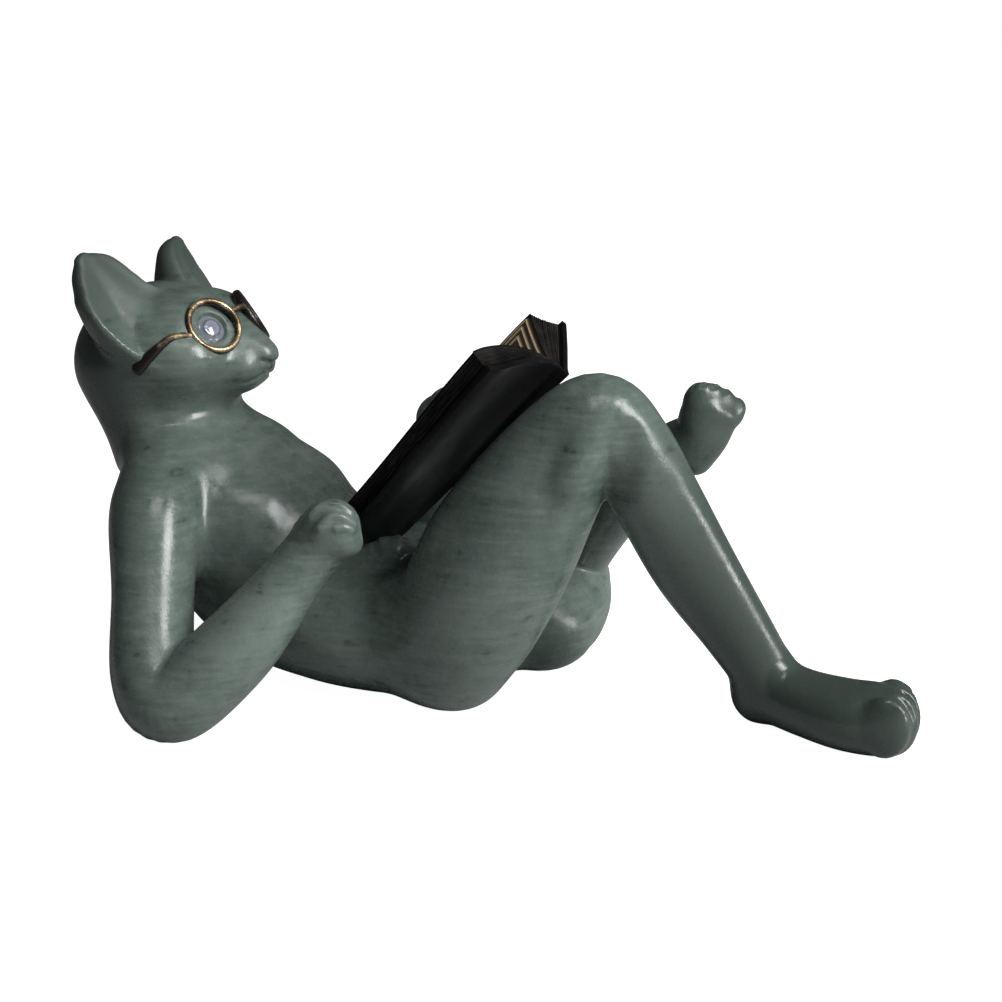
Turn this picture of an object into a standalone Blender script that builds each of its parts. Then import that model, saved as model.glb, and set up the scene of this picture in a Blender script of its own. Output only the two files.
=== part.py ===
"""Reclining cat figurine that reads a book: slip-cast ceramic castings luted together, with
wire spectacles, glass eyes and a separately cast open book.

Frame: +X runs from the head to the feet, +Y to the cat's left, +Z up from the shelf. The
castings are sculpted about the cat's rump, and settle() then moves the whole object so that
the origin is at the middle of its base. Lengths below are millimetres until MM scales them.
"""

import math

import bmesh
import bpy
from mathutils import Matrix, Vector

MM = 0.001

# Driving dimensions, in millimetres
SLIP_GAP = 0.35  # room for slip or glue between two castings
VENT_RADIUS = 3.5  # firing vent under the rump
SPIGOT_RADIUS = 3.5  # pegs that key the head, limbs and tail into the torso
NECK_PEG = ((-94, 0, 95), (-85, 0, 70))
SOCKET_CLEARANCE = 0.4
WIRE_RADIUS = 1.0  # spectacle wire
RIM_RADIUS = 7.6
LENS_CENTRE = (-68.7, 10.6, 99.6)  # of the left lens; the right one mirrors it
LENS_WRAP = 31.0  # degrees that each lens turns outward
LENS_TILT = 32.0  # degrees that the lenses look up
EAR_SCOOP = 25.6  # radius of the hollow in each ear
EYE_RADIUS = 5.2
EYE_DEPTH = 3.4  # eye centre behind its lens
SPINE_TOP = (28.8, 0.0, 91.0)
SPINE_FOOT = (-20.2, 0.0, 41.8)
RIGHT_OPENING = (69.0, 75.0)  # degrees from the reader's line of sight, at head and foot
LEFT_OPENING = (65.0, 58.0)
BOOK_HALF = 34.0  # one cover board, from the spine to the fore-edge
BOARD = 1.8  # thickness of a cover board
PAGES = 5.0  # thickness of one block of pages at the fore-edge

RING_POINTS = 18  # points round each section of a modelled limb
STEPS_PER_SPAN = 5  # sections between two stations
DOME_STEPS = 4  # sections that round off an end
VOXEL = 1.5  # grain at which the clay masses are fused
GLAZE = (0.17, 0.23, 0.21, 1.0)
PAINTED_BLACK = (0.012, 0.011, 0.012, 1.0)
PAGE_BROWN = (0.10, 0.065, 0.04, 1.0)
GOLD = (0.55, 0.36, 0.15, 1.0)
EYE_GLASS = (0.42, 0.45, 0.50, 1.0)


# ---------------------------------------------------------------- tools


def clear_scene():
    for obj in list(bpy.data.objects):
        bpy.data.objects.remove(obj)


def material(name, colour, roughness, metallic=0.0):
    made = bpy.data.materials.new(name)
    made.use_nodes = True
    shader = made.node_tree.nodes["Principled BSDF"]
    shader.inputs["Base Color"].default_value = colour
    shader.inputs["Roughness"].default_value = roughness
    shader.inputs["Metallic"].default_value = metallic
    return made


def curve_through(stations, steps=STEPS_PER_SPAN):
    """Points of a Catmull-Rom curve through the stations, whose numbers are all interpolated."""
    ends = [stations[0]] + list(stations) + [stations[-1]]
    made = []
    for i in range(1, len(ends) - 2):
        p0, p1, p2, p3 = ends[i - 1 : i + 3]
        for k in range(steps):
            t = k / steps
            made.append(
                tuple(
                    0.5 * (2 * b + (c - a) * t + (2 * a - 5 * b + 4 * c - d) * t**2
                           + (3 * b - a - 3 * c + d) * t**3)
                    for a, b, c, d in zip(p0, p1, p2, p3)
                )
            )
    return made + [tuple(stations[-1])]


def ring(bm, centre, along, side, wide, thick):
    """A closed section: half-width along side, half-thickness across it."""
    across = along.cross(side).normalized()
    side = across.cross(along).normalized()
    turns = (2 * math.pi * i / RING_POINTS for i in range(RING_POINTS))
    return [
        bm.verts.new((centre + side * wide * math.cos(a) + across * thick * math.sin(a)) * MM)
        for a in turns
    ]


def limb(bm, stations, side=(0, 1, 0), dome=0.75):
    """A lofted mass through (x, y, z, half-width, half-thickness) stations, with domed ends."""
    side = Vector(side)
    path = curve_through(stations)
    points = [Vector(p[:3]) for p in path]
    sections = [
        ((points[min(i + 1, len(points) - 1)] - points[max(i - 1, 0)]).normalized(), p)
        for i, p in enumerate(path)
    ]
    rings = []
    for i, (along, p) in enumerate(sections):
        if i == 0:
            rings += end_dome(bm, points[0], -along, along, side, p, dome)[::-1]
        rings.append(ring(bm, points[i], along, side, p[3], p[4]))
        if i == len(sections) - 1:
            rings += end_dome(bm, points[-1], along, along, side, p, dome)
    for first, second in zip(rings, rings[1:]):
        for k in range(RING_POINTS):
            n = (k + 1) % RING_POINTS
            bm.faces.new((first[k], first[n], second[n], second[k]))
    bm.faces.new(rings[0][::-1])
    bm.faces.new(rings[-1])


def end_dome(bm, centre, outward, along, side, section, dome):
    """The shrinking sections beyond a mass's last station."""
    made = []
    for k in range(1, DOME_STEPS + 1):
        angle = k / (DOME_STEPS + 0.6) * math.pi / 2
        reach = dome * min(section[3], section[4]) * math.sin(angle)
        shrink = math.cos(angle)
        made.append(
            ring(bm, centre + outward * reach, along, side, section[3] * shrink,
                 section[4] * shrink)
        )
    return made


def ball(bm, centre, radii, turn=(0, 0, 0)):
    """An ellipsoid, turned by degrees about X, Y and Z."""
    spin = Matrix.Identity(4)
    for axis, degrees in zip("XYZ", turn):
        spin = Matrix.Rotation(math.radians(degrees), 4, axis) @ spin
    place = Matrix.Translation(Vector(centre) * MM) @ spin
    size = Matrix.Diagonal((*[r * MM for r in radii], 1.0))
    bmesh.ops.create_uvsphere(bm, u_segments=20, v_segments=12, radius=1.0,
                              matrix=place @ size)


def plain(name, bm, finish=None):
    """An object from a finished bmesh."""
    mesh = bpy.data.meshes.new(name)
    bmesh.ops.recalc_face_normals(bm, faces=bm.faces)
    bm.to_mesh(mesh)
    bm.free()
    mesh.shade_smooth()
    obj = bpy.data.objects.new(name, mesh)
    bpy.context.scene.collection.objects.link(obj)
    if finish:
        mesh.materials.append(finish)
    return obj


def applied(obj):
    """Makes the object's modified shape its own mesh, so that later cutters read it quickly."""
    bpy.context.view_layer.update()
    graph = bpy.context.evaluated_depsgraph_get()
    mesh = bpy.data.meshes.new_from_object(obj.evaluated_get(graph))
    mesh.name = obj.name
    mesh.shade_smooth()
    obj.modifiers.clear()
    obj.data = mesh
    return obj


def clay(name, bm, triangles, finish, voxel=VOXEL, passes=6):
    """Fuses overlapping masses into one smooth casting of about that many triangles."""
    obj = plain(name, bm, finish)
    fuse = obj.modifiers.new("fuse", "REMESH")
    fuse.mode = "VOXEL"
    fuse.voxel_size = voxel * MM
    soften = obj.modifiers.new("soften", "SMOOTH")
    soften.factor = 0.5
    soften.iterations = passes
    applied(obj)
    thin = obj.modifiers.new("thin", "DECIMATE")
    thin.ratio = min(1.0, triangles / (2 * len(obj.data.polygons)))
    return applied(obj)


def hidden(obj):
    obj.hide_render = True
    obj.display_type = "WIRE"
    return obj


def swollen(obj, by=SLIP_GAP):
    """A cutter: a copy of the object, grown by that many millimetres, or shrunk if negative."""
    copy = bpy.data.objects.new(obj.name + "_cutter", obj.data.copy())
    bpy.context.scene.collection.objects.link(copy)
    grow = copy.modifiers.new("grow", "DISPLACE")
    grow.strength = by * MM
    grow.mid_level = 0.0
    return hidden(applied(copy))


def cut(obj, *cutters):
    for cutter in cutters:
        take = obj.modifiers.new("cut", "BOOLEAN")
        take.operation = "DIFFERENCE"
        take.object = cutter
    return applied(obj)


def drop_offcuts(obj):
    """Keeps the largest island of the mesh: what a cut has left loose falls away."""
    bm = bmesh.new()
    bm.from_mesh(obj.data)
    seen, islands = set(), []
    for start in bm.verts:
        if start in seen:
            continue
        island, front = [], [start]
        seen.add(start)
        while front:
            vert = front.pop()
            island.append(vert)
            for edge in vert.link_edges:
                other = edge.other_vert(vert)
                if other not in seen:
                    seen.add(other)
                    front.append(other)
        islands.append(island)
    islands.sort(key=len)
    loose = [vert for island in islands[:-1] for vert in island]
    bmesh.ops.delete(bm, geom=loose, context="VERTS")
    bm.to_mesh(obj.data)
    bm.free()


def joined(obj, *others):
    for other in others:
        add = obj.modifiers.new("join", "BOOLEAN")
        add.operation = "UNION"
        add.object = hidden(other)
    return applied(obj)


def rod(name, start, end, radius, sides=20):
    """A cylinder between two points."""
    start, end = Vector(start), Vector(end)
    along = end - start
    bm = bmesh.new()
    turn = along.to_track_quat("Z", "Y").to_matrix().to_4x4()
    place = Matrix.Translation((start + end) / 2 * MM) @ turn
    bmesh.ops.create_cone(bm, cap_ends=True, segments=sides, radius1=radius * MM,
                          radius2=radius * MM, depth=along.length * MM, matrix=place)
    return hidden(plain(name, bm))


def block(name, low, high):
    """A box between two corners."""
    bm = bmesh.new()
    low, high = Vector(low), Vector(high)
    place = Matrix.Translation((low + high) / 2 * MM)
    size = Matrix.Diagonal((*((high - low) * MM), 1.0))
    bmesh.ops.create_cube(bm, size=1.0, matrix=place @ size)
    return hidden(plain(name, bm))


# ---------------------------------------------------------------- body castings


def make_torso(glaze):
    bm = bmesh.new()
    limb(bm, [
        (4, 0, 19, 26, 18.5), (-12, 0, 19.5, 31, 20.5), (-34, 0, 22.5, 33, 23),
        (-54, 0, 31, 32, 27), (-70, 0, 47, 31, 25), (-79, 0, 60, 27, 22), (-87.5, 0, 70, 22, 20),
    ])
    for side in (-1, 1):
        ball(bm, (-57, side * 13.2, 47.5), (15, 14, 12.6), (0, -42, 0))  # breast
        ball(bm, (-70, side * 11, 60), (14, 13, 10), (0, -42, 0))  # upper chest
        ball(bm, (-82, side * 17, 54), (12, 11, 12))  # shoulder
        ball(bm, (-22, side * 9, 37), (13, 9, 6), (0, -8, 0))  # belly
        ball(bm, (-2, side * 15, 19), (17, 15, 17))  # haunch
    return clay("torso", bm, 1700, glaze)


def make_head(glaze):
    bm = bmesh.new()
    ball(bm, (-92, 0, 89), (24.5, 25.5, 20.5))  # skull
    limb(bm, [(-95, 0, 86, 22, 21), (-92, 0, 76, 21.5, 21.5), (-87.5, 0, 65, 20.5, 20)])  # neck
    for side in (-1, 1):
        ball(bm, (-82, side * 13, 87), (15, 13, 13))  # cheek
        ball(bm, (-77, side * 9, 99.5), (10, 8, 6.5), (0, 22, 0))  # brow
        ball(bm, (-63, side * 4.4, 86), (6.6, 6.0, 5.2))  # whisker pad
    limb(bm, [(-80, 0, 99, 10, 8), (-70, 0, 94.5, 7, 6.6), (-61.5, 0, 91, 4.6, 4)])  # nose ridge
    ball(bm, (-58, 0, 91), (3.4, 4.2, 2.8))  # nose
    limb(bm, [(-84, 0, 83, 15, 8), (-74, 0, 83.5, 9.5, 6), (-66, 0, 83.5, 5.5, 3.6)])  # jaw
    return clay("head", bm, 2200, glaze, voxel=1.2, passes=4)


def make_ear(name, side, glaze):
    """A pointed leaf with a shallow scoop that faces forward and outward."""
    bm = bmesh.new()
    limb(bm, [
        (-88, side * 13, 93, 11, 11), (-92.5, side * 17, 100.5, 11.5, 9.5),
        (-96.5, side * 19.8, 107.5, 9.6, 7.6), (-99.6, side * 22, 113.8, 6.2, 5),
        (-101.2, side * 23.2, 118, 2.6, 2.4),
    ], side=(-0.36, side * 0.82, -0.44))
    leaf = clay(name, bm, 420, glaze, voxel=0.9, passes=3)
    bm = bmesh.new()
    bmesh.ops.create_icosphere(
        bm, subdivisions=3, radius=EAR_SCOOP * MM,
        matrix=Matrix.Translation(Vector((-74.6, side * 35.0, 119.4)) * MM))
    return cut(leaf, hidden(plain(name + "_scoop", bm)))


def make_right_arm(glaze):
    bm = bmesh.new()
    limb(bm, [
        (-80, -19, 58, 12, 12), (-76.5, -32, 51, 12.8, 12.4), (-70.5, -45, 34, 10.8, 10.8),
        (-64, -57, 16, 11.2, 11), (-56, -60.5, 11.2, 11.4, 11), (-42, -51, 25, 10.4, 10.4),
        (-31, -41.5, 41.5, 8, 8), (-25.5, -37.5, 49.5, 7.8, 7.4),
    ], side=(0.8, -0.5, 0.2))
    ball(bm, (-22, -36, 54), (8.2, 8.6, 7.6), (0, -50, 10))
    for k in range(3):
        ball(bm, (-17.6 - k, -33 - 3.7 * k, 59.5 - 1.4 * k), (5.6, 3.4, 4.2), (0, -35, 0))
    return clay("right_arm", bm, 1100, glaze)


def make_left_arm(glaze):
    bm = bmesh.new()
    limb(bm, [
        (-83, 18, 55, 12, 12), (-81, 31, 47, 12.2, 11.8), (-70, 45, 30, 10.8, 10.6),
        (-58, 55, 14, 11.2, 10.8), (-48, 57, 11.4, 11.4, 11), (-34, 49, 32, 9.6, 9.6),
        (-22, 39.5, 54, 7.8, 7.8), (-17.5, 35.5, 63, 7.2, 7),
    ], side=(0.8, 0.5, 0.2))
    ball(bm, (-20, 33, 69), (7.4, 7.4, 7.0), (0, -40, 0))
    for k in range(3):
        ball(bm, (-16 - k, 29.5 + 3.4 * k, 75 - 2.8 * k), (6.4, 3.6, 4.2), (0, -20, 0))
    return clay("left_arm", bm, 1000, glaze)


def make_right_leg(glaze):
    bm = bmesh.new()
    limb(bm, [
        (0, -17.5, 18.5, 17, 18.8), (9, -21, 30, 17.5, 19.5), (19, -22, 49, 16.5, 19.5),
        (31.5, -20.5, 70, 13, 15.6), (42.5, -18, 83, 11.6, 12), (50.2, -15.5, 76, 10.6, 11.2),
        (57.4, -13, 63.5, 10, 10.6), (67.4, -9, 46, 8.6, 9.4), (77.2, -3.5, 29, 7.6, 7.8),
        (82.5, 0, 17, 7.6, 8.4),
    ])
    ball(bm, (81, 3, 8.6), (7.8, 7.4, 8.4))  # heel
    limb(bm, [
        (84, 1.5, 12, 7.4, 9), (94, -2, 10.4, 8.0, 8), (105, -5.5, 9.0, 9.8, 8.2),
        (114, -8.5, 8.9, 11, 8.8), (118, -9.5, 8.8, 10.6, 8.4),
    ])
    for k in range(4):
        ball(bm, (120.5 - abs(k - 1.6) * 1.4, -17.4 + k * 5.2, 10), (5.8, 3.0, 7.4))  # toes
    return clay("right_leg", bm, 1700, glaze)


def make_left_leg(glaze):
    bm = bmesh.new()
    limb(bm, [
        (8, 15, 18, 15, 16), (17.5, 22, 13.8, 13.4, 13.4), (18, 38, 15, 13, 13),
        (14, 51, 18, 11.8, 11.8), (16, 47.5, 26, 11, 11), (26.4, 38, 40.4, 10, 10),
        (40.5, 24.5, 56.6, 9.2, 9), (51, 13, 67, 8, 7.6), (57.5, 6.5, 72.5, 6.6, 6.6),
    ])
    limb(bm, [
        (58.3, 5.2, 73, 6.4, 6.4), (62.5, 4.8, 78.2, 6.6, 5.8), (65.7, 4.6, 82.4, 7.8, 5.8),
        (67.2, 4.6, 84.6, 8.0, 5.2),
    ], side=(0.62, 0.55, -0.55))
    for k in range(4):
        shift = k - 1.5
        ball(bm, (68 + shift * 2.6, 4.6 + shift * 2.4, 86.2 - shift * 2.2), (2.9, 2.7, 4.4),
             (0, 38, 0))
    return clay("left_leg", bm, 1400, glaze)


def make_tail(glaze):
    """Lies on the shelf behind the left hip, where the body hides it from the front."""
    bm = bmesh.new()
    limb(bm, [
        (-8, 18, 10, 6.5, 6.5), (-14, 32, 7, 6.2, 6.2), (-24, 41, 6, 5.8, 5.8),
        (-38, 42, 5.8, 5.6, 5.6), (-47, 34, 5.8, 5.6, 5.4), (-52, 27, 6, 5, 5),
    ], side=(1, 0, 0))
    return clay("tail", bm, 420, glaze)


# ---------------------------------------------------------------- book


def book_point(across, along, above, side):
    """A point of the open book: across a board from the spine, down it, and above its inside."""
    spine = Vector(SPINE_TOP) - Vector(SPINE_FOOT)
    up = spine.normalized()
    back = Vector((0, 1, 0)).cross(up).normalized() * -1  # from the spine towards the reader
    head, foot = RIGHT_OPENING if side < 0 else LEFT_OPENING
    opening = math.radians(head + (foot - head) * along / spine.length)
    out = Vector((0, side, 0))
    outward = back * math.cos(opening) + out * math.sin(opening)
    inward = back * math.sin(opening) - out * math.cos(opening)
    return Vector(SPINE_TOP) + outward * across - up * along + inward * above


def sweep_book(name, profile, side, finish, margin=0.0, rows=5):
    """Extrudes a closed (across, above) profile from the head of the book to its foot."""
    bm = bmesh.new()
    length = (Vector(SPINE_TOP) - Vector(SPINE_FOOT)).length
    sections = []
    for row in range(rows):
        along = margin + (length - 2 * margin) * row / (rows - 1)
        sections.append([bm.verts.new(book_point(a, along, h, side) * MM) for a, h in profile])
    count = len(profile)
    for first, second in zip(sections, sections[1:]):
        for k in range(count):
            n = (k + 1) % count
            bm.faces.new((first[k], first[n], second[n], second[k]))
    bm.faces.new(sections[0][::-1])
    bm.faces.new(sections[-1])
    bmesh.ops.triangulate(bm, faces=bm.faces)
    obj = plain(name, bm, finish)
    obj.data.shade_flat()
    return obj


def make_book(black, brown):
    """Two boards with a rounded spine, and a swelling block of pages on each board."""
    boards, blocks = [], []
    for side, word in ((-1, "right"), (1, "left")):
        board = [(0.5, -BOARD), (BOOK_HALF, -BOARD), (BOOK_HALF, 0.0), (0.5, 0.0)]
        boards.append(sweep_book(word + "_board", board, side, black))
        steps = [k / 7 for k in range(8)]
        swell = [
            (4.5 + t * (BOOK_HALF - 5.5), 1.0 + PAGES * (1 - (1 - t) ** 3) - 1.2 * t**4)
            for t in steps
        ]
        pages = [(BOOK_HALF - 1.0, SLIP_GAP), (4.5, SLIP_GAP)] + swell
        blocks.append(sweep_book(word + "_page_block", pages, side, brown, margin=1.0))
    spine = rod("spine", SPINE_TOP, SPINE_FOOT, 2.6, 14)
    cover = joined(boards[0], boards[1], spine)
    cover.name = "book_cover"
    bpy.data.objects.remove(boards[1])
    return [cover] + blocks


# ---------------------------------------------------------------- spectacles and eyes


def wire(name, points, finish, closed=False):
    """Round wire through hand-set points, as a mesh."""
    curve = bpy.data.curves.new(name, "CURVE")
    curve.dimensions = "3D"
    curve.bevel_depth = WIRE_RADIUS * MM
    curve.bevel_resolution = 1
    curve.use_fill_caps = True
    spline = curve.splines.new("POLY")
    spline.points.add(len(points) - 1)
    spline.use_cyclic_u = closed
    for point, place in zip(spline.points, points):
        point.co = (*(Vector(place) * MM), 1.0)
    curve.materials.append(finish)
    guide = bpy.data.objects.new(name + "_guide", curve)
    bpy.context.scene.collection.objects.link(guide)
    bpy.context.view_layer.update()
    graph = bpy.context.evaluated_depsgraph_get()
    mesh = bpy.data.meshes.new_from_object(guide.evaluated_get(graph))
    bpy.data.objects.remove(guide)
    bm = bmesh.new()
    bm.from_mesh(mesh)
    bmesh.ops.remove_doubles(bm, verts=bm.verts, dist=0.00001)
    return plain(name, bm, finish)


def lens_axes(side):
    """Centre of a lens, and its forward, sideways and upward directions."""
    turn, tilt = math.radians(side * LENS_WRAP), math.radians(LENS_TILT)
    level = math.cos(tilt)
    look = Vector((math.cos(turn) * level, math.sin(turn) * level, math.sin(tilt)))
    across = Vector((-math.sin(turn), math.cos(turn), 0))
    centre = Vector((LENS_CENTRE[0], side * LENS_CENTRE[1], LENS_CENTRE[2]))
    return centre, look, across, look.cross(across)


def make_spectacles(gold):
    parts = []
    for side, word in ((-1, "right"), (1, "left")):
        centre, look, across, upright = lens_axes(side)
        turns = [2 * math.pi * k / 24 for k in range(24)]
        circle = [
            centre + across * RIM_RADIUS * math.cos(a) + upright * RIM_RADIUS * math.sin(a)
            for a in turns
        ]
        parts.append(wire(word + "_rim", circle, gold, closed=True))
        hinge = centre + (across * side - upright * 0.1) * (RIM_RADIUS + 2.3)
        temple = curve_through([
            tuple(hinge), (-77, side * 24.0, 99.2), (-81.5, side * 25.8, 96.2),
            (-84.5, side * 26.2, 92.0),
        ], 3)
        parts.append(wire(word + "_temple", temple, gold))
    inner = []
    for side in (-1, 1):
        centre, look, across, upright = lens_axes(side)
        inner.append(centre + (across * -side * 0.88 + upright * 0.47) * (RIM_RADIUS + 2.0))
    middle = (inner[0] + inner[1]) / 2 + Vector((0.6, 0, 1.2))
    over_nose = curve_through([tuple(inner[0]), tuple(middle), tuple(inner[1])], 3)
    parts.append(wire("bridge", over_nose, gold))
    return parts


def make_eyes(glass):
    eyes = []
    for side, word in ((-1, "right"), (1, "left")):
        centre, look, across, upright = lens_axes(side)
        bm = bmesh.new()
        turn = look.to_track_quat("Z", "Y").to_matrix().to_4x4()
        place = Matrix.Translation((centre - look * EYE_DEPTH) * MM) @ turn
        size = Matrix.Diagonal((EYE_RADIUS * MM, EYE_RADIUS * MM, 3.0 * MM, 1.0))
        bmesh.ops.create_uvsphere(bm, u_segments=16, v_segments=10, radius=1.0,
                                  matrix=place @ size)
        eyes.append(plain(word + "_eye", bm, glass))
    return eyes


# ---------------------------------------------------------------- assembly


def key_to_torso(torso, piece, start, end):
    """Gives the piece a round spigot and the torso the socket that takes it."""
    cut(torso, rod(piece.name + "_socket", start, end, SPIGOT_RADIUS + SOCKET_CLEARANCE))
    start, end = Vector(start), Vector(end)
    tip = end - (end - start).normalized() * SOCKET_CLEARANCE
    joined(piece, rod(piece.name + "_spigot", start, tip, SPIGOT_RADIUS))


def hollow_out(torso):
    """The core left by pouring the slip out, and the vent that lets it breathe in the kiln."""
    bm = bmesh.new()
    limb(bm, [
        (-8, 0, 22, 9, 8), (-34, 0, 25, 11, 10), (-56, 0, 36, 11.5, 11), (-72, 0, 50, 11, 10),
    ])
    cut(torso, hidden(plain("core", bm)), rod("vent", (-14, 0, -5), (-14, 0, 22), VENT_RADIUS))


def ground(obj, height=0.9):
    """Grinds the casting flat where it stands on the shelf."""
    return cut(obj, block(obj.name + "_ground", (-200, -200, -20), (200, 200, height)))


def settle(objects):
    """Moves the whole object so that its base is centred on the origin, and says how far."""
    corners = [obj.matrix_world @ v.co for obj in objects for v in obj.data.vertices]
    low = Vector([min(c[i] for c in corners) for i in range(3)])
    high = Vector([max(c[i] for c in corners) for i in range(3)])
    shift = Vector((-(low.x + high.x) / 2, -(low.y + high.y) / 2, -low.z))
    for obj in objects:
        obj.data.transform(Matrix.Translation(shift))
    print("SHIFT", *shift)


def main():
    clear_scene()
    glaze = material("glaze", GLAZE, 0.28)
    black = material("painted_black", PAINTED_BLACK, 0.3)
    brown = material("page_brown", PAGE_BROWN, 0.45)
    gold = material("spectacle_gold", GOLD, 0.3, 1.0)
    glass = material("eye_glass", EYE_GLASS, 0.1)

    torso = make_torso(glaze)
    head = make_head(glaze)
    ears = [make_ear("right_ear", -1, glaze), make_ear("left_ear", 1, glaze)]
    right_arm, left_arm = make_right_arm(glaze), make_left_arm(glaze)
    right_leg, left_leg = make_right_leg(glaze), make_left_leg(glaze)
    tail = make_tail(glaze)
    book = make_book(black, brown)
    spectacles = make_spectacles(gold)
    eyes = make_eyes(glass)

    for casting in (torso, right_arm, left_arm, right_leg, left_leg, tail):
        ground(casting)
    for part in book:
        for casting in (torso, right_arm, left_arm, right_leg, left_leg):
            cut(casting, swollen(part))
    cut(head, swollen(torso))
    for ear in ears:
        cut(ear, swollen(head))
    for limb_piece in (right_arm, left_arm, right_leg, left_leg, tail):
        cut(limb_piece, swollen(torso), swollen(head))
    cut(left_leg, swollen(right_leg))
    cut(tail, swollen(left_leg))
    for wire_part in spectacles:
        cut(head, swollen(wire_part))
        for ear in ears:
            cut(ear, swollen(wire_part))
    for eye in eyes:
        cut(head, swollen(eye))
    for casting in (torso, head, *ears, right_arm, left_arm, right_leg, left_leg, tail):
        drop_offcuts(casting)
    hollow_out(torso)
    for piece, start, end in (
        (head, NECK_PEG[0], NECK_PEG[1]),
        (right_arm, (-77, -40, 46), (-80, -17, 56)), (left_arm, (-79, 39, 41), (-80, 17, 55)),
        (right_leg, (20, -22, 48), (5, -15, 24)), (left_leg, (20, 36, 15), (4, 15, 19)),
        (tail, (-13.5, 31, 7.2), (-6, 15, 11)),
    ):
        key_to_torso(torso, piece, start, end)

    castings = [torso, head, *ears, right_arm, left_arm, right_leg, left_leg, tail]
    settle(castings + book + spectacles + eyes)


main()
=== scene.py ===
"""Looks of the reclining cat that reads a book: glazed skin, book, spectacles, eyes and studio.

The skin is modelled as clay on a grid of distances: lofted masses and balls are pressed
together with soft joins, and creases are drawn into them. Its stations are millimetres from
the cat's rump, which ANCHOR places in the frame.
"""

import math

import bmesh
import bpy
import numpy as np
import openvdb
from mathutils import Matrix, Vector


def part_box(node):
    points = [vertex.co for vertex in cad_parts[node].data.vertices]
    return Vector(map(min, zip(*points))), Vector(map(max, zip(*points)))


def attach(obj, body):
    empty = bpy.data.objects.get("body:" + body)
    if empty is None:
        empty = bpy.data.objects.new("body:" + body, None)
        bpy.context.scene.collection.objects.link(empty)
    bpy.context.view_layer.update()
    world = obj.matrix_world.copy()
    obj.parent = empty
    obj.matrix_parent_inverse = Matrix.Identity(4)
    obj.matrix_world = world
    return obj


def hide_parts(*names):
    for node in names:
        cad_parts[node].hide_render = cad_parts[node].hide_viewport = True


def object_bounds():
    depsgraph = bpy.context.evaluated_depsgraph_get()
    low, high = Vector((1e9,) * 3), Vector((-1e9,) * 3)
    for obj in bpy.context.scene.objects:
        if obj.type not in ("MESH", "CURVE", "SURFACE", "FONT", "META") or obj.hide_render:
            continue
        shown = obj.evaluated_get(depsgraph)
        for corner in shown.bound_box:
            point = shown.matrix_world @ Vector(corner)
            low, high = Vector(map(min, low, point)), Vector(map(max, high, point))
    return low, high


MM = 0.001
RUMP_TO_KNEES = 17.55  # from the rump to the end of the CAD torso towards the knees, mm
SHELF = 0.9  # height of the shelf above the origin of the stations, mm
FAR = 12.0  # clay distances are only kept this near the surface, mm
GRAIN = 0.6  # grid step of the clay, mm
MARGIN = 3.0  # how far the grid reaches past the CAD box, mm
MELT = 0.5  # how far the masses are smoothed before the details are cut, mm
PARTS = ["torso", "head", "right_ear", "left_ear", "right_arm", "left_arm", "right_leg",
         "left_leg", "tail"]

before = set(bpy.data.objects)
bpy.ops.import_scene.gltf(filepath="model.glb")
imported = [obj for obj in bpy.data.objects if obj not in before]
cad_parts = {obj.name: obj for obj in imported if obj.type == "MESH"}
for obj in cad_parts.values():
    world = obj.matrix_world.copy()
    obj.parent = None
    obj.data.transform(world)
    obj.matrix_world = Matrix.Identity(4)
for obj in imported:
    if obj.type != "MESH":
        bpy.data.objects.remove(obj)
cad_low, cad_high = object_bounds()
torso_low, torso_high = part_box("torso")
ANCHOR = np.array([
    torso_high.x / MM - RUMP_TO_KNEES, (torso_low.y + torso_high.y) / 2 / MM, -SHELF,
])


# ---------------------------------------------------------------- lofts


LOFT_STEPS = 10  # rings from one station to the next
LOFT_POINTS = 48  # points round a ring
CAP_RINGS = 8  # rings of a domed end


def through(stations, steps):
    """Catmull-Rom curve through rows of numbers."""
    rows = np.array(stations, float)
    rows = np.vstack([rows[:1], rows, rows[-1:]])
    t = (np.arange(steps) / steps)[:, None]
    spans = []
    for p0, p1, p2, p3 in zip(rows, rows[1:], rows[2:], rows[3:]):
        spans.append(0.5 * (2 * p1 + (p2 - p0) * t + (2 * p0 - 5 * p1 + 4 * p2 - p3) * t**2
                            + (3 * p1 - p0 - 3 * p2 + p3) * t**3))
    return np.vstack(spans + [rows[-1:]])


def unit(v):
    return v / np.maximum(np.linalg.norm(v, axis=-1, keepdims=True), 1e-9)


def ways_along(centre):
    """The direction of a path at each of its points."""
    return unit(np.vstack([centre[1:], centre[-1:]]) - np.vstack([centre[:1], centre[:-1]]))


def grid_quads(rows, columns, ring_rows=False, ring_columns=False):
    """Quads between the points of a grid, which may close on itself either way."""
    i = np.arange(rows if ring_rows else rows - 1)[:, None]
    k = np.arange(columns if ring_columns else columns - 1)
    j, n = (i + 1) % rows, (k + 1) % columns
    return np.stack([i * columns + k, i * columns + n, j * columns + n, j * columns + k],
                    -1).reshape(-1, 4)


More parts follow.
